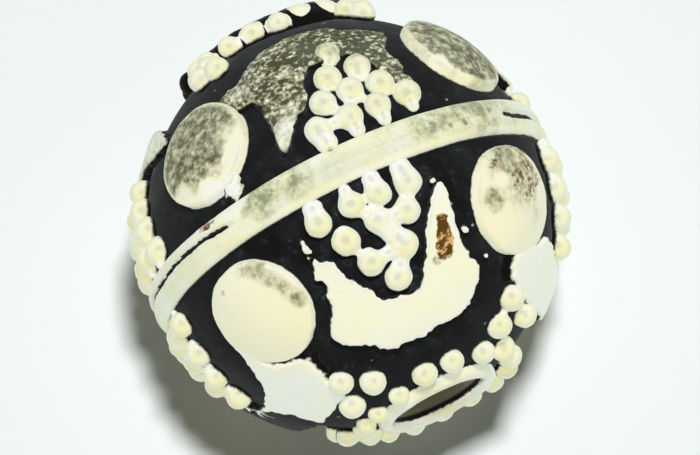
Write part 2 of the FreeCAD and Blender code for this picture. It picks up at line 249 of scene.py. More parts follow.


# Worn and stained places, and places with painted shade and painted highlights

# Stains, painted shade and painted highlights by kind and half, each (latitude, longitude, reach,
# strength); a negative one cleans, and some clean spots are painted highlights.
PATCHES = {
    ("brown", "near"): [
        # The long spot on the front crescent's right arm.
        (22.7, 17.0, 0.24, 1.0), (25.7, 16.6, 0.26, 1.0), (28.8, 16.4, 0.34, 1.0),
        (31.0, 15.6, 0.34, 1.0),
        # The rust on the front right button.
        (17.0, 51.0, 1.0, 0.47), (12.9, 39.6, 0.4, 0.45)],
    ("brown", "far"): [
        # The streak at the burr of the belt.
        (2.9, -45.0, 0.2, 0.6), (2.9, -43.0, 0.2, 0.6), (3.0, -41.0, 0.16, 0.5)],
    ("soot_and_painted_shade", "near"): [
        # Painted shade: the lower end of the left crescent, blackened where it turns down into the
        # bead's own shade.
        (50.0, -97.0, 1.6, 1.0), (37.0, -108.0, 1.2, 1.0)],
    ("soot_and_painted_shade", "far"): [
        # Painted shade: two granules of the ring, blackened whole.
        (68.0, -84.0, 0.75, 1.3), (67.5, -104.0, 0.85, 1.3)],
    ("tarnish_and_painted_light", "near"): [
        # Under the brown spot of the front crescent.
        (32.4, 12.2, 0.2, 0.9),
        # The soft band along the top of the front left button, a painted reflection.
        (9.7, -40.8, 0.42, 0.55), (11.8, -37.2, 0.42, 0.55), (15.0, -34.8, 0.44, 0.55),
        (18.3, -33.4, 0.4, 0.55), (21.5, -32.1, 0.38, 0.6), (25.1, -30.3, 0.34, 0.8),
        # Pits in the same button, and the clean rim above its band, a painted highlight.
        (12.1, -48.8, 0.15, 1.0), (18.2, -48.3, 0.16, 0.6), (21.3, -39.1, 0.1, 0.7),
        (24.0, -53.2, 0.13, 0.5),
        (6.7, -42.8, 0.3, -1.6), (12.7, -31.4, 0.22, -1.6), (15.0, -29.5, 0.25, -1.6),
        (19.0, -28.3, 0.22, -1.4),
        # The upper half of the front right button, with a cleaner spot that is a painted highlight.
        (11.5, 45.0, 0.8, 0.3), (16.0, 46.0, 1.7, 0.55), (21.7, 35.0, 0.5, 0.35),
        (17.0, 39.6, 0.35, -0.5),
        # The belt: mottling, then small pits.
        (1.4, -26.8, 0.4, 0.35), (0.5, -23.7, 0.5, 0.3), (0.7, -14.9, 0.5, 0.25),
        (0.5, 48.0, 1.5, 0.2),
        (0.1, 23.6, 0.12, 1.6), (0.1, 29.7, 0.13, 1.8), (0.1, 34.5, 0.13, 1.8)],
    ("tarnish_and_painted_light", "far"): [
        # The cleaner lower rims of the front left and front right buttons, painted highlights.
        (6.5, -35.0, 0.9, -1.2), (15.3, -25.3, 0.6, -0.9), (11.0, -30.0, 0.6, -0.8),
        (9.0, -38.3, 0.7, -0.9), (12.0, -46.5, 0.6, -0.9), (22.0, -27.0, 0.4, -0.6),
        (17.4, 39.8, 0.4, -1.2), (10.5, 43.5, 0.4, -0.6),
        # The front crescent: a duller body and right arm, partly tarnish and partly painted shade,
        # and cleaner points.
        (37.5, 3.5, 0.9, 0.3), (33.0, -11.0, 0.8, 0.2), (34.0, 17.0, 1.4, 0.45),
        (12.0, -11.5, 0.75, -0.6), (17.0, -8.5, 0.5, -0.3), (33.5, -20.0, 0.5, -0.3),
        # The belt: mottling, broad and small, then two pits and the clean place at the burr.
        (2.3, -31.1, 0.5, 0.5), (2.4, -23.9, 0.5, 0.5), (1.2, -17.5, 0.5, 0.4),
        (0.7, -28.5, 0.45, 0.4), (2.2, -12.7, 0.45, 0.35), (0.0, -5.0, 0.5, 0.15),
        (0.5, 18.0, 1.4, 0.15), (0.5, 33.0, 1.5, 0.2), (0.8, 22.0, 0.5, 0.35),
        (0.7, 27.6, 0.5, 0.35), (1.5, 34.8, 0.5, 0.45), (2.2, 40.9, 0.5, 0.6),
        (2.4, 47.0, 0.4, 0.4), (3.2, -38.5, 0.4, 0.3),
        (0.2, 45.1, 0.14, 1.6), (3.9, -3.3, 0.1, 1.4), (3.0, -44.5, 0.6, -0.9)],
}


def stains_and_painted_light(points, kind, seed):
    """How strongly the patches of one kind mark each point: stains, painted shade and painted
    highlights.
    """
    total = np.zeros(len(points))
    wobble = rough(points, 2.2, seed, 3)
    for (name, half), patches in PATCHES.items():
        if name != kind:
            continue
        for latitude, longitude, reach, strength in patches:
            spot = on_sphere(HALVES[half], latitude, longitude, SHELL + 0.3)
            distance = norm(points - spot, axis=1) / reach + 0.35 * wobble
            total += strength * (1 - smooth_step(0.4, 1.05, distance))
    return total


# Meshes

def new_piece(name, points, faces, material, tarnish_and_painted_light, seed, soot_and_painted_shade=0.0):
    """A mesh that replaces the CAD node of the same name, from points in millimetres.

    The material reads four values of each point: its lift over the shell and its stains, some of
    which are painted shade and painted highlights.
    The metal mirrors the pale room alone, because no piece shows in a glossy reflection.
    """
    mesh = bpy.data.meshes.new(name + "_mesh")
    mesh.from_pydata((points * MM).tolist(), [], [list(map(int, face)) for face in faces])
    mesh.polygons.foreach_set("use_smooth", [True] * len(mesh.polygons))
    extra = {
        "lift": lift_of(points),
        "tarnish_and_painted_light": stains_and_painted_light(points, "tarnish_and_painted_light", seed) + tarnish_and_painted_light,
        "brown": stains_and_painted_light(points, "brown", seed),
        "soot_and_painted_shade": stains_and_painted_light(points, "soot_and_painted_shade", seed + 9) + soot_and_painted_shade,
    }
    for key, values in extra.items():
        layer = mesh.attributes.new(key, "FLOAT", "POINT")
        layer.data.foreach_set("value", values.astype(np.float32))
    mesh.materials.append(material)
    mesh.update()
    piece = add_object(name + "_worn", mesh)
    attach(piece, "root")
    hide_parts(name)
    piece.visible_glossy = False


def add_object(name, data):
    """A new object in the scene."""
    thing = bpy.data.objects.new(name, data)
    bpy.context.scene.collection.objects.link(thing)
    return thing


def ring_faces(rows, columns, closed_rows=True):
    """Quads between rings of points; the last ring joins the first if closed."""
    faces = []
    for row in range(rows if closed_rows else rows - 1):
        following = (row + 1) % rows
        for column in range(columns):
            after = (column + 1) % columns
            faces.append((row * columns + column, row * columns + after,
                          following * columns + after, following * columns + column))
    return faces


def turned(profile, columns, side):
    """Points and faces of a closed (radius, along) profile turned round the string hole."""
    angles = np.arange(columns) * 2 * math.pi / columns
    profile = np.asarray(profile)
    radius, along = profile[:, 0:1], profile[:, 1:2] * side
    points = np.stack([radius * np.sin(angles), along + 0 * angles, radius * np.cos(angles)], axis=-1)
    faces = ring_faces(len(profile), columns)
    if side > 0:
        faces = [face[::-1] for face in faces]
    return points.reshape(-1, 3), faces


def arc_points(centre, radius, start, end, count):
    """Points on an arc of a profile, angles in degrees from the radius axis."""
    angles = np.radians(np.linspace(start, end, count))
    return [(centre[0] + radius * math.cos(a), centre[1] + radius * math.sin(a)) for a in angles]


def make_shell(half, side, material):
    """One half of the hollow ball, faintly uneven, with its bore and inside."""
    top = math.degrees(math.acos(BORE / SHELL))
    inner = SHELL - WALL
    inner_top = math.degrees(math.acos(BORE / inner))
    profile = [(SHELL, 0.002)]
    profile += arc_points((0, RIM), SHELL, 0, top - 0.8, 100)
    mouth = RIM + math.sqrt(SHELL ** 2 - BORE ** 2)
    inner_mouth = RIM + math.sqrt(inner ** 2 - BORE ** 2)
    profile += [(BORE + 0.02, mouth - 0.01), (BORE, mouth - 0.05), (BORE, inner_mouth + 0.05)]
    profile += arc_points((0, RIM), inner, inner_top, 0, 40)
    profile += [(inner, 0.002)]
    points, faces = turned(profile, 240, side)
    out = points - [0, side * RIM, 0]
    length = norm(out, axis=1, keepdims=True)
    wave = rough(points, 1.3, 11 if side > 0 else 12, 4)
    outside = (length[:, 0] > SHELL - 0.06) & (np.abs(points[:, 1]) > RIM + 0.3)
    points = points + out / length * (0.012 * wave * outside - 0.012 * outside)[:, None]
    new_piece(half + "_shell", points, faces, material, 0.0, 5)


# The groove's distance from the seam towards the far half, by longitude.
GROOVE_PATH = [(-180, 0.05), (-90, 0.18), (-71, 0.15), (-59, 0.19), (-47, 0.17), (-36, 0.05),
               (0, 0.0), (49, 0.03), (58, -0.04), (66, 0.0), (180, 0.05)]


def belt_groove(longitude):
    """How far the groove between the two wires is open, from 0 to 1, round the belt."""
    longitude = (longitude + 180) % 360 - 180
    left = smooth_step(-36, -41, longitude)
    right = smooth_step(49, 58, longitude)
    wave = smooth_step(-0.2, 0.3, np.sin(np.radians(longitude * 5)))
    behind = smooth_step(138, 150, np.abs(longitude)) * wave
    return np.clip(left + right - behind, 0, 1)


def arch(part, power):
    """A rounded top from -1 to 1."""
    return (1 - np.minimum(np.abs(part), 1) ** power) ** (1 / power)


def make_belt(half, side, material):
    """One hoop of the belt: two wires run together, with an open groove at places."""
    columns, rows_across, seed = 1100, 34, 31 if side > 0 else 32
    flank, rise = 0.13, 0.27
    least = 0.0004
    angles = np.arange(columns) * 2 * math.pi / columns
    ring = np.stack([np.sin(angles), 0 * angles, np.cos(angles)], axis=-1)
    open_part = belt_groove(np.degrees(angles) + 3 * rough(ring * 6, 1, 77, 2))
    longitude = (np.degrees(angles) + 180) % 360 - 180
    split = np.interp(longitude, *zip(*GROOVE_PATH))
    split = split + 0.016 * rough(ring * SHELL, 6, 79, 2)
    width = 2 * BELT_WIRE + 0.02 * rough(ring * SHELL, 0.6, seed, 3)
    groove = 0.05 + 0.035 * smooth_step(45, 54, longitude) + 0.015 * rough(ring * SHELL, 4, 80, 2)
    rows = [(0 * angles + least, 0 * angles + SEAT)]
    dark = [0 * angles]
    for turn in np.linspace(0, math.pi / 2, rows_across):
        across = np.maximum(width * math.sin(turn), least)
        spot = side * across
        crown = flank + rise * arch(across / width, 2.7)
        strand = np.where(spot < split, (2 * spot + width - split) / (width + split),
                          (2 * spot - width - split) / (width - split))
        double = flank + rise * arch(strand, 2.4)
        blend = np.maximum(open_part * 0.9, 0.05)
        height = crown * (1 - blend) + np.minimum(crown, double) * blend
        gap = 1 - smooth_step(groove * 0.7, groove * 1.6, np.abs(spot - split))
        rows.append((across, SHELL + height * (1 - 0.8 * gap * open_part)))
        dark.append(open_part * (1 - smooth_step(groove, groove * 1.4, np.abs(spot - split))))
    rows += [(width + 0.004, 0 * angles + SEAT + 0.05), (width - 0.02, 0 * angles + SEAT)]
    dark += [0 * angles, 0 * angles]
    points = np.concatenate([
        np.stack([radius * np.sin(angles), side * across, radius * np.cos(angles)], axis=-1)
        for across, radius in rows])
    radial = points * [1, 0, 1]
    radial /= norm(radial, axis=1, keepdims=True)
    upper = smooth_step(0.12, 0.3, lift_of(points))
    burr = norm(points - on_sphere(1, 3.6, -44, SHELL + 0.3), axis=1)
    burr = (1 - smooth_step(0.25, 0.6, burr)) * 0.07
    dent = rough(points, 1.6, 33, 3) * 0.016 + rough(points, 6, 36, 3) * (0.008 + burr)
    points = points + radial * (upper * (dent - 0.012))[:, None]
    faces = ring_faces(len(rows), columns)
    if side > 0:
        faces = [face[::-1] for face in faces]
    cleaner_edge = -0.25 * smooth_step(0.3, 0.45, -points[:, 1])
    new_piece(half + "_belt_wire", points, faces, material, 0.2 + cleaner_edge, 35,
              np.concatenate(dark))


def make_eyelet(half, side, material):
    """The hammered wire ring round one end of the hole."""
    seed = 41 if side > 0 else 42
    inner, outer = EYELET_MIDDLE - EYELET_WIRE, EYELET_MIDDLE + EYELET_WIRE
    inner_foot = math.sqrt(SEAT ** 2 - inner ** 2) + RIM - 0.03
    outer_foot = math.sqrt(SEAT ** 2 - outer ** 2) + RIM - 0.03
    profile = arc_points((EYELET_MIDDLE, EYELET_LEVEL), EYELET_WIRE, 0, 180, 22)
    profile += [(inner, (EYELET_LEVEL + inner_foot) / 2), (inner, inner_foot)]
    profile += [(EYELET_MIDDLE, (inner_foot + outer_foot) / 2)]
    profile += [(outer, outer_foot), (outer, (EYELET_LEVEL + outer_foot) / 2)]
    points, faces = turned(profile, 180, side)
    upper = smooth_step(0.05, 0.2, lift_of(points))
    points[:, 1] += side * upper * (0.02 * rough(points, 1.5, seed, 3) - 0.015)
    new_piece(half + "_eyelet", points, faces, material, 0.05, seed)


def make_button(half, name, place, material, tarnish_and_painted_light, seed):
    """A domed round plate with an uneven outline, a soft edge and a few dents."""
    columns = 128
    soft = 0.15
    angles = np.arange(columns) * 2 * math.pi / columns
    around = np.stack([np.cos(angles), np.sin(angles), 0 * angles + seed], axis=-1)
    outline = BUTTON_RADIUS * (1.0 + 0.012 * rough(around, 1.2, seed, 2)
                               + 0.012 * rough(around, 6, seed + 1, 2))
    foot = np.sqrt(SEAT ** 2 - outline ** 2)
    edge_level = math.sqrt((SHELL + FILM) ** 2 - BUTTON_RADIUS ** 2) + BUTTON_RIM
    shoulder = edge_level - soft * 0.75
    bend = (BUTTON_RADIUS ** 2 + BUTTON_DOME ** 2) / (2 * BUTTON_DOME)
    rings = []

    def add_ring(reach, level):
        rings.append(np.stack([reach * np.cos(angles), reach * np.sin(angles),
                               0 * angles + level], axis=-1))

    for share in (0.001, 0.35, 0.7, 0.97):
        add_ring(outline * share, np.sqrt(SEAT ** 2 - (outline * share) ** 2))
    for part in np.linspace(0.15, 1, 5):
        add_ring(outline, foot + (shoulder - foot) * part)
    for turn in np.radians(np.linspace(12, 78, 7)):
        add_ring(outline - soft * (1 - math.cos(turn)), shoulder + soft * math.sin(turn) * 0.95)
    for share in np.linspace(0.97, 0.0, 34):
        reach = (outline - soft) * max(share, 0.0006)
        add_ring(reach, edge_level + BUTTON_DOME - bend + np.sqrt(bend ** 2 - reach ** 2))
    points = np.concatenate(rings)
    faces = ring_faces(len(rings), columns, closed_rows=False)
    bottom = tuple(reversed(range(columns)))
    top = tuple(range((len(rings) - 1) * columns, len(rings) * columns))
    faces += [bottom, top]
    world = place.to_world(points)
    out = (world - place.centre) / norm(world - place.centre, axis=1, keepdims=True)
    upper = smooth_step(0.2, 0.4, lift_of(world))
    dent = 0.022 * rough(world, 1.1, seed, 2) + 0.006 * rough(world, 5, seed + 2, 3)
    world = world + out * (upper * (dent - 0.012))[:, None]
    share = norm(points[:, :2], axis=1) / np.tile(outline, len(rings))
    cleaner_rim = -0.6 * smooth_step(0.88, 0.97, share) * min(1, max(tarnish_and_painted_light, 0) * 2)
    new_piece(f"{half}_{name}_button", world, faces, material,
              tarnish_and_painted_light + cleaner_rim, seed)


def spline(points, steps):
    """A closed smooth line through given points."""
    points = np.asarray(points, float)
    line = []
    for index in range(len(points)):
        p0, p1, p2, p3 = (points[(index + k) % len(points)] for k in (-1, 0, 1, 2))
        for step in range(steps):
            t = step / steps
            line.append(0.5 * (2 * p1 + (p2 - p0) * t + (2 * p0 - 5 * p1 + 4 * p2 - p3) * t * t
                               + (3 * p1 - p0 - 3 * p2 + p3) * t ** 3))
    return np.array(line)


def outline_distance(line, spots):
    """Signed distance in the plane from a closed line, negative inside."""
    start, end = line, np.roll(line, -1, axis=0)
    along = end - start
    best = np.full(len(spots), 1e9)
    inside = np.zeros(len(spots), bool)
    for a, b, d in zip(start, end, along):
        rel = spots - a
        part = np.clip((rel @ d) / max(d @ d, 1e-12), 0, 1)
        best = np.minimum(best, ((rel - part[:, None] * d) ** 2).sum(axis=1))
        crosses = (a[1] > spots[:, 1]) != (b[1] > spots[:, 1])
        slope = (b[0] - a[0]) * (spots[:, 1] - a[1]) / (d[1] if abs(d[1]) > 1e-12 else 1e-12) + a[0]
        inside ^= crosses & (spots[:, 0] < slope)
    return np.sqrt(best) * np.where(inside, -1, 1)


class Flat:
    """A plane distance map of one outline, looked up by smooth interpolation."""

    def __init__(self, lines, margin, step):
        every = np.concatenate(lines)
        self.low = every.min(axis=0) - margin
        self.step = step
        self.count = np.ceil((every.max(axis=0) + margin - self.low) / step).astype(int) + 1
        spots = np.stack(np.meshgrid(*[self.low[a] + step * np.arange(self.count[a])
                                       for a in (0, 1)], indexing="ij"), axis=-1).reshape(-1, 2)
        value = np.min([outline_distance(line, spots) for line in lines], axis=0)
        self.value = value.reshape(self.count)
        self.high = every.max(axis=0)

    def at(self, points):
        """The distance at points of the plane."""
        where = (points - self.low) / self.step
        cell = np.clip(np.floor(where).astype(int), 0, self.count - 2)
        part = np.clip(where - cell, 0, 1)
        v = self.value
        i, j = cell.T
        fx, fy = part.T
        return (v[i, j] * (1 - fx) * (1 - fy) + v[i + 1, j] * fx * (1 - fy)
                + v[i, j + 1] * (1 - fx) * fy + v[i + 1, j + 1] * fx * fy)


def make_crescent(half, name, place, outlines, material, tarnish_and_painted_light, seed):
    """A plate with ragged, softened edges, curved to the ball."""
    lines = [spline([place.flat(*spot) for spot in outline], 4) for outline in outlines]
    flat = Flat(lines, 0.4, 0.03)
    soft = 0.08

    def field(points):
        world = place.to_world(points)
        height = norm(points, axis=1)
        edge = flat.at(points[:, :2]) + 0.035 * rough(world, 4.5, seed, 2)
        edge += 0.045 * rough(world, 9, seed + 3, 1)
        top = SHELL + PLATE - 0.03 + 0.03 * rough(world, 1.4, seed + 7, 3)
        level = np.maximum(height - top, SEAT - height)
        out = np.hypot(np.maximum(edge + soft, 0), np.maximum(level + soft, 0))
        return out + np.minimum(np.maximum(edge, level) + soft, 0) - soft

    reach = np.abs(np.concatenate([flat.low, flat.high])).max()
    low_z = math.sqrt(max(SEAT ** 2 - 2 * reach ** 2, 4)) - 0.05
    low = (flat.low[0] + 0.2, flat.low[1] + 0.2, max(low_z, 3.2))
    high = (flat.high[0] + 0.2, flat.high[1] + 0.2, SHELL + PLATE + 0.05)
    points, faces = surface_net(field, low, high, 0.05)
    new_piece(f"{half}_{name}_crescent", place.to_world(points), faces,
              material, tarnish_and_painted_light, seed)


def make_granules(label, place, centres, radii, bridges, material, tarnish_and_painted_light, seed, step=0.045,
                  bed=None):
    """Balls soldered to the shell and, by bridges (start, end, radius), to each other."""
    centres = np.asarray(centres)

    def neck_gap(points, bridge):
        start, end, radius = bridge
        along = end - start
        part = np.clip((points - start) @ along / (along @ along), 0, 1)
        return norm(points - start - part[:, None] * along, axis=1) - radius

    def field(points):
        best = np.full(len(points), 1e9)
        for centre, radius in zip(centres, radii):
            best = smooth_min(best, norm(points - centre, axis=1) - radius, 0.06)
        for bridge in bridges:
            best = smooth_min(best, neck_gap(points, bridge), 0.12)
        near = np.abs(best) < 0.15
        if near.any():
            world = place.to_world(points[near])
            best[near] += 0.028 * rough(world, 3.0, seed, 2)
        if bed:
            best = smooth_min(best, bed(place.to_world(points)), 0.08)
        return np.maximum(best, SEAT - norm(points, axis=1))

    spread = np.concatenate([centres] + [np.array([a, b]) for a, b, _ in bridges])
    low = spread.min(axis=0) - GRANULE - 0.05
    high = spread.max(axis=0) + GRANULE + 0.05
    points, faces = surface_net(field, low, high, step)
    gap = np.min([norm(points - centre, axis=1) - radius
                  for centre, radius in zip(centres, radii)], axis=0)
    soot_and_painted_shade = smooth_step(0.06, 0.12, gap) if bed else 0.0
    neck = np.min([neck_gap(points, bridge) for bridge in bridges] + [gap + 1], axis=0)
    wash = 1.3 * (1 - smooth_step(-0.06, 0.16, neck))
    new_piece(label, place.to_world(points), faces, material, tarnish_and_painted_light - wash,
              seed, soot_and_painted_shade)


def on_orbit(across, along, orbit):
    """A granule's centre from its two offsets in its place's own plane."""
    return np.array([across, along, math.sqrt(orbit ** 2 - across ** 2 - along ** 2)])


def solder(centres, random, chance, reach=0.98):
    """Low necks of solder between some of the granules that lie side by side."""
    bridges = []
    for first in range(len(centres)):
        for second in range(first + 1, len(centres)):
            if norm(centres[first] - centres[second]) < reach and random.random() < chance:
                drop = 1 - random.uniform(0.0, 0.1) / GRANULE_ORBIT
                bridges.append((centres[first] * drop, centres[second] * drop,
                                random.uniform(0.1, 0.2)))
    return bridges


# The granules that the photograph shows, each (latitude, longitude).
HAND_TRIANGLES = {
    ("near", "front"): [(10.5, -15.0), (9.9, -4.8), (10.1, 3.2), (10.4, 12.1), (18.1, -10.6),
                        (16.6, 0.1), (17.5, 8.8), (26.2, -6.8), (25.4, 4.5), (33.0, -1.2)],
    ("far", "front"): [(10.6, -3.8), (10.4, 5.6), (10.6, 14.3), (11.3, 24.0), (17.7, 1.0),
                       (18.1, 9.7), (16.9, 18.6), (24.8, 6.1), (24.7, 15.8), (33.0, 10.8)],
    ("near", "left"): [(9.0, -77.0), (9.5, -87), (9.5, -96), (9.5, -105), (17.5, -81.2),
                       (17, -90.5), (17, -100), (24.5, -86.5), (24.5, -96.0), (32.0, -91.0)],
}
HAND_TRIADS = {
    ("near", "front_left"): [(52.0, -44.1), (58.2, -33.6), (60.5, -55.9)],
    ("near", "front_right"): [(49.6, 46.6), (57.6, 43.4), (54.8, 63.4)],
    ("far", "front_left"): [(52.9, -30.6), (58.3, -38.0), (53.5, -41.0)],
    ("far", "front_right"): [(57.5, 47.0), (57.5, 60.0), (52.5, 48.5)],
}
HAND_RINGS = {
    "near": [(68.5, -32.1), (65.7, -7.5), (65.4, 12.6), (65.9, 38.2), (65.5, 60.5), (66.5, 84),
             (66.5, 107), (66.6, 129), (66.4, 151), (66.6, 173), (66.5, 195), (66.5, 217),
             (66.8, 239), (67.5, 259), (68.4, 277.3), (69.4, 299.9)],
    "far": [(67.3, -104), (67.3, -84), (67.3, -64), (64.7, -45.4), (63.6, -25.5), (66.0, -9.4),
            (62.8, 7.6), (65.4, 25.3), (63.3, 43.0), (62.6, 61)],
}
# The rings' smaller granules: their place in the list above and their share of the full size.
SMALL_GRANULES = {"near": {0: 0.8, 13: 0.85, 14: 0.8, 15: 0.78},
                  "far": dict.fromkeys(range(2, 10), 0.84)}
# Necks of solder inside the triangles, each (granule, granule, radius), and the radii of those
# between the granules of the first row and the belt.
NECKS = {
    ("near", "front"): [(1, 5, 0.16), (5, 6, 0.2), (5, 8, 0.3), (7, 8, 0.2), (8, 9, 0.2),
                        (3, 6, 0.17), (4, 7, 0.1), (1, 2, 0.1)],
    ("near", "left"): [(4, 7, 0.1)],
    ("far", "front"): [(0, 1, 0.18), (1, 4, 0.12), (1, 5, 0.16), (2, 5, 0.1), (5, 8, 0.16),
                       (4, 7, 0.1), (7, 9, 0.1)],
}
BELT_NECKS = {
    ("near", "front"): (0.27, 0.16, 0.26, 0.3),
    ("near", "left"): (0.08, 0.08, 0.1, 0.1),
    ("far", "front"): (0.3, 0.22, 0.2, 0.16),
}


def make_triangle(half, name, place, material, tarnish_and_painted_light, seed):
    """Ten granules between a crescent's arms, soldered to the belt at their base.

    A granule that is larger than the usual one sits deeper.
    """
    random = np.random.default_rng(seed)
    rows, pitch, row_pitch, base, jitter = 4, 0.84, 0.69, -1.75, 0.05
    centres = []
    hand = HAND_TRIANGLES.get((half, name))
    if hand:
        centres = place.local(hand, GRANULE_ORBIT)
    else:
        for row in range(rows):
            for column in range(rows - row):
                across = (column - (rows - 1 - row) / 2) * pitch
                across += random.uniform(-jitter, jitter)
                along = row * row_pitch + base + random.uniform(-jitter, jitter)
                centres.append(on_orbit(across, along, GRANULE_ORBIT))
    radii = [GRANULE * random.uniform(1.0, 1.1) for _ in centres]
    centres = [centre * (1 - 1.5 * (radius - GRANULE) / GRANULE_ORBIT)
               for centre, radius in zip(centres, radii)]
    if (half, name) in NECKS:
        bridges = [(centres[a], centres[b], radius) for a, b, radius in NECKS[half, name]]
    else:
        bridges = solder(centres, random, 0.4, 0.95)
    for centre in centres[rows:]:
        tail = centre + [random.uniform(-0.1, 0.1), -0.26, 0]
        bridges.append((centre, tail * 5.62 / norm(tail), random.uniform(0.13, 0.2)))
    thickness = BELT_NECKS.get((half, name), random.uniform(0.1, 0.26, rows))
    for centre, radius in zip(centres, thickness):
        foot = centre + [0, -0.45, 0]
        foot = foot * 5.66 / norm(foot)
        bridges.append((centre, foot, radius))
    make_granules(f"{half}_{name}_granule_triangle", place, centres, radii, bridges, material,
                  tarnish_and_painted_light, seed)


def make_triad(half, name, place, material, tarnish_and_painted_light, seed):
    """Three granules that point at a button."""
    random = np.random.default_rng(seed)
    hand = HAND_TRIADS.get((half, name))
    if hand:
        centres = place.local(hand, GRANULE_ORBIT)
    else:
        centres = [on_orbit(across + random.uniform(-0.04, 0.04),
                            along + random.uniform(-0.04, 0.04), GRANULE_ORBIT)
                   for across, along in ((-0.43, 0.345), (0.43, 0.345), (0, -0.345))]
    radii = [GRANULE * random.uniform(0.96, 1.04) for _ in centres]
    make_granules(f"{half}_{name}_granule_triad", place, centres, radii,
                  solder(centres, random, 0.3), material, tarnish_and_painted_light, seed)


def make_ring(half, side, material, tarnish_and_painted_light, seed):
    """The granules round the eyelet: the seen ones as listed, the rest evenly spread."""
    random = np.random.default_rng(seed)
    place = Place(side, 90, 0)
    count, radius, orbit = RINGS[half]
    spots = list(HAND_RINGS[half])
    missing = count - len(spots)
    start, end = spots[-1][1], spots[0][1] + 360
    for number in range(missing):
        longitude = start + (end - start) * (number + 1) / (missing + 1) + random.uniform(-1.5, 1.5)
        spots.append((90 - math.degrees(math.asin(radius / orbit)), longitude))
    centres = place.local(spots, orbit)
    radii = [GRANULE * random.uniform(0.94, 1.03) for _ in centres]
    for number, share in SMALL_GRANULES[half].items():
        radii[number] *= share
    bridges = solder(centres, random, 0.3, 0.95)

    def bed(world):
        """A raised black bed of solder between the far eyelet and its granules."""
        shoulder = 0.3
        inner = 1.82 - np.hypot(world[:, 0], world[:, 2])
        outer = np.hypot(world[:, 0] - 0.5, world[:, 2]) - 2.55
        top = np.maximum(norm(world, axis=1) - 6.1, np.abs(world[:, 1]) - 5.74)
        sides = np.maximum(inner, outer) + shoulder
        level = top + shoulder
        rounded = np.hypot(np.maximum(sides, 0), np.maximum(level, 0)) - shoulder
        shape = rounded + np.minimum(np.maximum(sides, level), 0)
        return shape + 0.05 * rough(world, 2.0, seed, 2)

    make_granules(half + "_granule_ring", place, centres, radii, bridges, material, tarnish_and_painted_light, seed,
                  0.05, bed if side > 0 else None)


# Materials

class Net:
    """A node tree with short ways to fill it; distances are in millimetres."""

    def __init__(self, tree):
        self.nodes = tree.nodes
        self.links = tree.links

    def fill(self, socket, value):
        """Sets a socket to another node's output, or to a colour or number of its own."""
        if isinstance(value, bpy.types.NodeSocket):
            self.links.new(value, socket)
        else:
            socket.default_value = (*value, 1) if socket.type == "RGBA" else value

    def add(self, kind, **inputs):
        """A new node with some of its inputs set."""
        node = self.nodes.new("ShaderNode" + kind)
        for name, value in inputs.items():
            self.fill(node.inputs[name], value)
        return node

    def in_millimetres(self):
        """Object coordinates scaled so that one unit is a millimetre."""
        where = self.add("TexCoord").outputs["Object"]
        return self.add("Mapping", Vector=where, Scale=(1 / MM, 1 / MM, 1 / MM)).outputs["Vector"]

    def noise(self, where, scale, detail, roughness):
        """A noise texture, in cells to the millimetre."""
        return self.add("TexNoise", Vector=where, Scale=scale, Detail=detail,
                        Roughness=roughness).outputs["Fac"]

    def calc(self, operation, *values):
        """A maths node on links or numbers."""
        node = self.add("Math")
        node.operation = operation
        for socket, value in zip(node.inputs, values):
            self.fill(socket, value)
        return node.outputs[0]

    def remap(self, value, low, high, to_low=0.0, to_high=1.0):
        """A smooth remap of a value to a new range."""
        node = self.add("MapRange")
        node.interpolation_type = "SMOOTHSTEP"
        for socket, given in zip(node.inputs, (value, low, high, to_low, to_high)):
            self.fill(socket, given)
        return node.outputs["Result"]

    def mix(self, factor, first, second):
        """A colour between two, each a link or a colour."""
        node = self.add("Mix")
        node.data_type = "RGBA"
        for index, given in ((0, factor), (6, first), (7, second)):
            self.fill(node.inputs[index], given)
        return node.outputs[2]

    def attribute(self, name):
        """A per-point value of the mesh."""
        node = self.add("Attribute")
        node.attribute_name = name
        return node.outputs["Fac"]

    def bump(self, shader, height, distance, strength):
        """Fine relief, with its depth in millimetres."""
        node = self.add("Bump", Strength=strength, Distance=distance * MM, Height=height)
        self.fill(shader.inputs["Normal"], node.outputs["Normal"])


def new_material(name):
    """An empty node material, its net and its shader."""
    material = bpy.data.materials.new(name)
    material.use_nodes = True
    net = Net(material.node_tree)
    return material, net, net.nodes["Principled BSDF"]


WASHED_AND_HIGHLIGHT_WHITE = (0.97, 0.97, 0.93)
YELLOWED = (0.90, 0.90, 0.58)
DARK_RUST = (0.12, 0.06, 0.010)
LIGHT_RUST = (0.80, 0.50, 0.24)
SOOT_AND_SHADE_BLACK = (0.008, 0.007, 0.007)
DARK_OLIVES_TARNISH_AND_SHADE = ((0.050, 0.046, 0.016), (0.080, 0.095, 0.056))
PALE_OLIVES = ((0.30, 0.33, 0.19), (0.40, 0.46, 0.34))


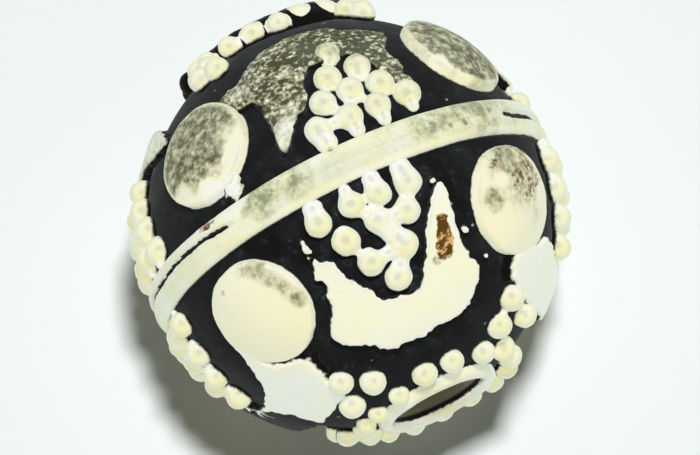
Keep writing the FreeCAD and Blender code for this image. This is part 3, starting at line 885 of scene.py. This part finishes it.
def silver_material(name, cream, white, foot, dulling, metallic, roughness, grit=3.2,
                    olives=DARK_OLIVES_TARNISH_AND_SHADE):
    """Worn silver: cream to white metal, olive tarnish, brown stains and a black foot. Some of the
    olive and the black are painted shade, and some of the white is painted highlights.

    The black foot fades out between two lifts over the shell. Dulling is how far the tarnish
    covers the metal, and grit how grainy it is.
    """
    material, net, shader = new_material(name + "_worn_silver")
    where = net.in_millimetres()
    broad = net.noise(where, 0.9, 3, 0.5)
    fine = net.noise(where, 3.5, 3, 0.6)
    grain = net.noise(where, 8, 2, 0.5)
    worn_and_painted_light = net.attribute("tarnish_and_painted_light")
    mottle = net.calc("MULTIPLY_ADD", grain, grit, -grit / 2)
    mottle = net.calc("ADD", mottle, net.calc("MULTIPLY_ADD", fine, 2.2, -0.1))
    stain_and_painted_light = net.calc("MULTIPLY", worn_and_painted_light, mottle)
    dullness_and_painted_shade = net.remap(stain_and_painted_light, 0.0, 1.5, 0.0, dulling)
    tone = net.mix(net.remap(broad, 0.4, 0.6), cream, white)
    # Negative marks whiten the metal: washed solder, and painted highlights on some rims.
    tone = net.mix(net.remap(stain_and_painted_light, -1.1, -0.25, 1.0, 0.0), tone, WASHED_AND_HIGHLIGHT_WHITE)
    tone = net.mix(net.remap(worn_and_painted_light, 0.1, 0.8, 0.0, 0.7), tone, YELLOWED)
    # The olive dulling is tarnish, and on the far half it is also painted shade.
    tone = net.mix(dullness_and_painted_shade, tone, net.mix(net.remap(broad, 0.42, 0.58), *olives))
    rust = net.calc("ADD", net.attribute("brown"), net.calc("MULTIPLY_ADD", grain, 1.2, -0.6))
    brown = net.mix(net.remap(fine, 0.5, 0.62), DARK_RUST, LIGHT_RUST)
    tone = net.mix(net.remap(rust, 0.25, 0.75), tone, brown)
    lift = net.calc("ADD", net.attribute("lift"), net.calc("MULTIPLY_ADD", grain, 0.1, -0.05))
    black = net.calc("ADD", net.attribute("soot_and_painted_shade"), net.calc("MULTIPLY_ADD", fine, 0.6, -0.3))
    # Black where the piece meets the shell, and where the soot attribute says so; part of that black
    # is painted shade.
    black_foot_and_painted_shade = net.calc("MAXIMUM", net.remap(lift, *foot, 1.0, 0.0), net.remap(black, 0.4, 0.6))
    tone = net.mix(black_foot_and_painted_shade, tone, SOOT_AND_SHADE_BLACK)
    net.fill(shader.inputs["Base Color"], tone)
    dulled = net.calc("MAXIMUM", dullness_and_painted_shade, black_foot_and_painted_shade)
    net.fill(shader.inputs["Roughness"], net.remap(dulled, 0.0, 1.0, roughness, 0.6))
    net.fill(shader.inputs["Metallic"], metallic)
    net.fill(shader.inputs["Specular IOR Level"], 0.1)
    net.bump(shader, net.calc("ADD", grain, fine), 0.02, 0.5)
    return material


def belt_silver():
    """Bright wire with soft pale olive mottling."""
    return silver_material("belt", cream=(0.95, 0.96, 0.70), white=(0.97, 0.985, 0.85),
                           foot=(0.12, 0.2), dulling=0.9, metallic=0.66, roughness=0.4, grit=1.8,
                           olives=PALE_OLIVES)


def eyelet_silver():
    """Bright hammered wire, cream in its hollows."""
    return silver_material("eyelet", cream=(0.90, 0.90, 0.68),
                           white=(0.96, 0.975, 0.87), foot=(0.02, 0.08), dulling=0.5,
                           metallic=0.7, roughness=0.35)


def button_silver():
    """Warm pale domes, some with soft dark tarnish, partly painted shade on the far half."""
    return silver_material("button", cream=(0.97, 0.955, 0.74),
                           white=(0.965, 0.95, 0.73), foot=(0.0, 0.07), dulling=0.9,
                           metallic=0.78, roughness=0.4, grit=1.5)


def plate_silver():
    """The whitest metal, whose tarnish, partly painted shade on the far half, is coarse and nearly
    black.
    """
    return silver_material("plate", cream=(0.97, 0.985, 0.84),
                           white=(0.97, 0.985, 0.90), foot=(0.19, 0.27), dulling=0.95,
                           metallic=0.78, roughness=0.4)


def granule_silver():
    """Yellowish balls, smoother than the rest, with dark feet."""
    return silver_material("granule", cream=(0.93, 0.92, 0.63),
                           white=(0.93, 0.94, 0.74), foot=(0.06, 0.16), dulling=0.6,
                           metallic=0.76, roughness=0.26)


def shell_material():
    """Black sulphide patina: matt, a little blue, with tiny pale specks and a pale inside."""
    material, net, shader = new_material("black_patina")
    where = net.in_millimetres()
    cloud = net.noise(where, 1.2, 5, 0.6)
    grain = net.noise(where, 9, 4, 0.6)
    tone = net.mix(net.remap(cloud, 0.35, 0.7), (0.0045, 0.0040, 0.0042), (0.016, 0.018, 0.020))
    dots = net.add("TexVoronoi", Vector=where, Scale=3.4)
    picked = net.add("SeparateColor", Color=dots.outputs["Color"])
    size = net.remap(picked.outputs["Red"], 0.9, 1.0, 0.0, 0.22)
    speck = net.remap(net.calc("SUBTRACT", size, dots.outputs["Distance"]), 0.0, 0.06)
    tone = net.mix(speck, tone, (0.30, 0.34, 0.36))
    smudge = net.remap(net.noise(where, 2.4, 3, 0.7), 0.52, 0.75)
    smudge = net.calc("MULTIPLY", smudge, net.remap(grain, 0.45, 0.65))
    tone = net.mix(smudge, tone, (0.05, 0.056, 0.062))
    inside = net.remap(net.attribute("lift"), -0.14, -0.06, 1.0, 0.0)
    tone = net.mix(inside, tone, (0.80, 0.77, 0.60))
    net.fill(shader.inputs["Base Color"], tone)
    net.fill(shader.inputs["Roughness"], net.remap(cloud, 0.3, 0.7, 0.5, 0.7))
    net.fill(shader.inputs["Specular IOR Level"], 0.08)
    net.bump(shader, net.calc("ADD", grain, cloud), 0.03, 0.7)
    return material


# Outlines of the crescent plates, as (east, pole) offsets from each plate's place

NEAR_FRONT = [
    (-1.95, -1.0), (-1.75, -0.75), (-1.43, -0.67), (-1.38, -0.45), (-1.25, -0.12), (-0.97, 0.29),
    (-0.79, 0.42), (-0.72, 0.73), (-0.54, 0.87), (-0.2, 0.89), (0.2, 0.95), (0.5, 0.83),
    (0.67, 0.52), (0.96, 0.07), (1.19, -0.46), (1.49, -0.88), (1.77, -1.19), (2.02, -1.33),
    (2.11, -1.05), (2.04, -0.6), (1.97, -0.05), (1.95, 0.5), (2.0, 0.68), (1.98, 0.88),
    (2.13, 1.08), (2.05, 1.41), (1.75, 1.78), (1.42, 2.07), (0.97, 2.2), (0.56, 2.17), (0.0, 2.25),
    (-0.34, 2.22), (-0.76, 2.28), (-1.1, 2.14), (-1.24, 1.95), (-1.63, 1.78), (-2.05, 1.54),
    (-2.21, 1.25), (-1.97, 0.67), (-1.88, 0.35), (-1.9, 0.12), (-1.8, -0.05), (-1.84, -0.25),
    (-2.01, -0.38), (-1.93, -0.7)]
NEAR_FRONT_BITS = [
    [(-1.9, -1.45), (-1.83, -1.15), (-1.87, -1.06), (-1.97, -1.1), (-1.98, -1.35)],
    [(1.8, -1.5), (1.92, -1.52), (1.95, -1.4), (1.83, -1.38)],
    [(2.1, 0.0), (2.2, 0.05), (2.2, 0.2), (2.08, 0.15)],
    [(2.38, 1.0), (2.48, 1.0), (2.46, 1.12), (2.37, 1.1)]]
NEAR_LEFT = [
    (2.35, -0.3), (2.2, 0.17), (1.88, 0.58), (1.46, 1.0), (0.8, 1.15), (0.2, 1.15), (-0.5, 0.95),
    (-1.1, 0.3), (-1.6, -0.6), (-1.85, -1.2), (-2.1, 0.2), (-2.1, 1.1), (-1.5, 1.8), (-0.6, 2.3),
    (0.3, 2.65), (1.0, 2.8), (1.64, 2.9), (1.97, 2.92), (2.49, 2.45), (2.86, 1.95), (3.02, 1.73),
    (2.83, 1.36), (2.62, 1.16), (2.45, 0.9), (2.5, 0.3), (2.5, -0.3)]
NEAR_LEFT_BITS = [[(2.62, 0.95), (2.78, 0.82), (2.86, 0.95), (2.8, 1.12), (2.68, 1.06)]]
NEAR_RIGHT = [
    (-2.24, 0.7), (-2.5, 1.0), (-2.86, 1.14), (-3.12, 1.35), (-3.2, 1.68), (-3.0, 2.05),
    (-2.6, 2.22), (-2.0, 2.4), (-1.2, 2.45), (-0.4, 2.35), (0.6, 2.2), (1.4, 1.95), (2.0, 1.5),
    (2.15, 0.9), (2.0, 0), (1.95, -0.8), (1.85, -1.25), (1.5, -0.6), (1.1, 0.2), (0.6, 0.8),
    (0, 1.0), (-0.7, 1.0), (-1.3, 0.95), (-1.8, 0.7)]
FAR_FRONT = [
    (-2.68, 1.13), (-2.43, 1.2), (-2.12, 1.2), (-1.83, 1.41), (-1.52, 1.63), (-1.14, 1.8),
    (-0.83, 1.82), (-0.42, 1.84), (-0.07, 1.83), (0.29, 1.77), (0.6, 1.66), (0.89, 1.45),
    (1.14, 1.24), (1.46, 1.16), (1.73, 0.94), (1.97, 0.82), (2.03, 0.69), (1.77, 0.13),
    (1.73, -0.18), (1.87, -0.42), (1.87, -0.67), (1.8, -0.93), (1.88, -1.16), (1.91, -1.45),
    (1.87, -1.71), (1.65, -1.95), (1.52, -1.75), (1.5, -1.3), (1.35, -0.9), (1.17, -0.5),
    (1.02, -0.1), (0.79, 0.17), (0.52, 0.22), (0.17, 0.25), (-0.17, 0.25), (-0.36, 0.3),
    (-0.55, 0.13), (-0.76, -0.16), (-0.84, -0.45), (-0.95, -0.73), (-1.17, -0.99), (-1.35, -1.0),
    (-1.61, -1.27), (-1.81, -1.46), (-1.97, -1.66), (-2.12, -1.64), (-2.19, -1.38), (-2.11, -1.11),
    (-2.06, -0.78), (-2.07, -0.49), (-2.02, -0.21), (-2.04, 0.07), (-2.16, 0.26), (-2.35, 0.31),
    (-2.49, 0.34), (-2.58, 0.67), (-2.68, 1.0)]
# The lumps of solder between the front left button and the belt.
FAR_FRONT_BITS = [
    [(-3.36, -1.41), (-3.33, -1.2), (-3.45, -1.14), (-3.56, -1.28), (-3.72, -1.16), (-3.8, -1.38),
     (-3.7, -1.5), (-3.67, -1.75), (-3.5, -1.7), (-3.37, -1.64)]]
FAR_LEFT_ARM = [(-1.9, -1.35), (-1.45, -0.75), (-0.95, 0.15), (-0.5, 0.62), (0.0, 0.8)]
FAR_SOLE = [(1.6, 1.5), (0.7, 1.78), (-0.2, 1.85), (-1.1, 1.75), (-1.9, 1.3), (-2.25, 0.85),
            (-2.2, 0.0), (-2.1, -0.8)]
FAR_PLAIN = FAR_LEFT_ARM + [(0.5, 0.62), (0.95, 0.15), (1.45, -0.75), (1.9, -1.35), (2.12, -0.8),
                            (2.2, 0.1), (2.25, 0.9)] + FAR_SOLE
FAR_LEFT = FAR_LEFT_ARM + [(0.6, 0.8), (1.2, 0.75), (1.6, 0.8), (2.0, 0.9), (2.2, 1.0)] + FAR_SOLE
OUTLINES = {
    ("near", "front"): [NEAR_FRONT] + NEAR_FRONT_BITS,
    ("near", "left"): [NEAR_LEFT] + NEAR_LEFT_BITS,
    ("near", "right"): [NEAR_RIGHT],
    ("near", "back"): [[(-east, pole) for east, pole in NEAR_FRONT[::-1]]],
    ("far", "front"): [FAR_FRONT] + FAR_FRONT_BITS,
    ("far", "left"): [FAR_LEFT],
    ("far", "right"): [FAR_PLAIN],
    ("far", "back"): [FAR_PLAIN],
}
# How dull each group's and button's metal is, where it isn't the usual. This is partly tarnish and
# partly painted light: painted shade makes the far half darker, and the near half is painted
# brighter.
USUAL_TARNISH = 0.05
TARNISH_AND_PAINTED_LIGHT = {
    ("far", "front"): 1.0, ("far", "front_left"): 0.95, ("far", "front_right"): 1.0,
    ("far", "left"): 0.4, ("far", "right"): 0.4, ("far", "back"): 0.5,
    ("near", "front_left"): -0.2, ("near", "front_right"): -0.1, ("near", "front"): -0.15,
    ("near", "left"): -0.1, ("near", "back"): 0.1, ("near", "back_left"): 0.15,
}


def build_bead():
    """Every piece of the bead."""
    patina = shell_material()
    belt = belt_silver()
    eyelet = eyelet_silver()
    dome = button_silver()
    plate = plate_silver()
    ball = granule_silver()
    seed = 100
    for half, side in HALVES.items():
        make_shell(half, side, patina)
        make_belt(half, side, belt)
        make_eyelet(half, side, eyelet)
        make_ring(half, side, ball, USUAL_TARNISH, seed)
        for name, longitude in UNITS[half].items():
            seed += 3
            tarnish_and_painted_light = TARNISH_AND_PAINTED_LIGHT.get((half, name), USUAL_TARNISH)
            place = Place(side, UNIT_LATITUDE[half], longitude)
            make_triangle(half, name, place, ball, tarnish_and_painted_light * 0.2, seed)
            make_crescent(half, name, place, OUTLINES[half, name], plate, tarnish_and_painted_light, seed + 1)
        for name, longitude in BUTTONS[half].items():
            seed += 3
            tarnish_and_painted_light = TARNISH_AND_PAINTED_LIGHT.get((half, name), USUAL_TARNISH)
            place = Place(side, BUTTON_LATITUDE[half], longitude)
            make_button(half, name, place, dome, tarnish_and_painted_light, seed)
            place = Place(side, TRIAD_LATITUDE[half], longitude)
            make_triad(half, name, place, ball, tarnish_and_painted_light * 0.2, seed + 1)


# Floor, light and camera

def make_floor(level):
    """A plain pale floor under the bead."""
    mesh = bpy.data.meshes.new("floor_mesh")
    size = 0.08
    mesh.from_pydata([(-size, -size, level), (size, -size, level), (size, size, level),
                      (-size, size, level)], [], [(0, 1, 2, 3)])
    floor = add_object("floor", mesh)
    material, net, shader = new_material("pale_floor")
    cloud = net.noise(net.in_millimetres(), 0.05, 2, 0.5)
    tone = net.mix(cloud, (0.87, 0.922, 0.922), (0.885, 0.935, 0.935))
    net.fill(shader.inputs["Base Color"], tone)
    net.fill(shader.inputs["Roughness"], 0.9)
    net.fill(shader.inputs["Specular IOR Level"], 0.0)
    mesh.materials.append(material)


def make_world():
    """White surroundings for the eye and a plain dim light for the rest.

    The metal sees a room that is warmer on the near side and dimmer overhead.
    """
    white, warm, overhead = (1.0, 1.0, 1.0), (1.0, 0.965, 0.78), (0.72, 0.74, 0.70)
    dim_light = (1.0, 0.88, 0.82)
    dim_strength = 0.055
    world = bpy.data.worlds.new("studio")
    bpy.context.scene.world = world
    world.use_nodes = True
    net = Net(world.node_tree)
    sky = net.nodes["Background"]
    path = net.add("LightPath")
    way = net.add("SeparateXYZ", Vector=net.add("TexCoord").outputs["Generated"])
    sides = net.mix(net.remap(way.outputs["Y"], -0.6, 0.4), warm, white)
    room = net.mix(net.remap(way.outputs["Z"], 0.80, 0.95), sides, overhead)
    room = net.mix(path.outputs["Is Glossy Ray"], white, room)
    seen = net.calc("MAXIMUM", path.outputs["Is Camera Ray"], path.outputs["Is Glossy Ray"])
    seen = net.calc("MAXIMUM", seen, path.outputs["Is Transmission Ray"])
    strength = net.calc("MULTIPLY_ADD", seen, 1 - dim_strength, dim_strength)
    net.fill(sky.inputs["Color"], net.mix(seen, dim_light, room))
    net.fill(sky.inputs["Strength"], strength)


def make_lamp(name, direction, distance, size, power):
    """A soft round lamp that faces the bead, and that the metal doesn't mirror."""
    data = bpy.data.lights.new(name, "AREA")
    data.shape = "DISK"
    data.size = size
    data.energy = power
    lamp = add_object(name, data)
    lamp.visible_glossy = False
    direction = Vector(direction).normalized()
    lamp.location = direction * distance
    lamp.rotation_euler = direction.to_track_quat("Z", "Y").to_euler()


def make_camera():
    """The photograph's view: from above, a little to the left."""
    photo_width = 700
    data = bpy.data.cameras.new("camera")
    data.sensor_width = 36
    data.lens = 268.7
    data.clip_start = 0.01
    data.shift_x = 0.5 / photo_width
    data.shift_y = -4.5 / photo_width
    camera = add_object("camera", data)
    azimuth, elevation, distance = math.radians(-25.5), math.radians(73.3), 0.1425
    back = Vector((math.sin(azimuth) * math.cos(elevation),
                   -math.cos(azimuth) * math.cos(elevation), math.sin(elevation)))
    camera.location = back * distance
    camera.rotation_euler = back.to_track_quat("Z", "Y").to_euler()
    bpy.context.scene.camera = camera


build_bead()
visual_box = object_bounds()
lowest = min(cad_box[0][2], visual_box[0][2])
make_floor(lowest)
make_world()
make_lamp("key", (0.071, 0.015, 1.0), 0.4, 0.052, 1.50)
make_camera()
bpy.context.scene.view_settings.view_transform = "Standard"
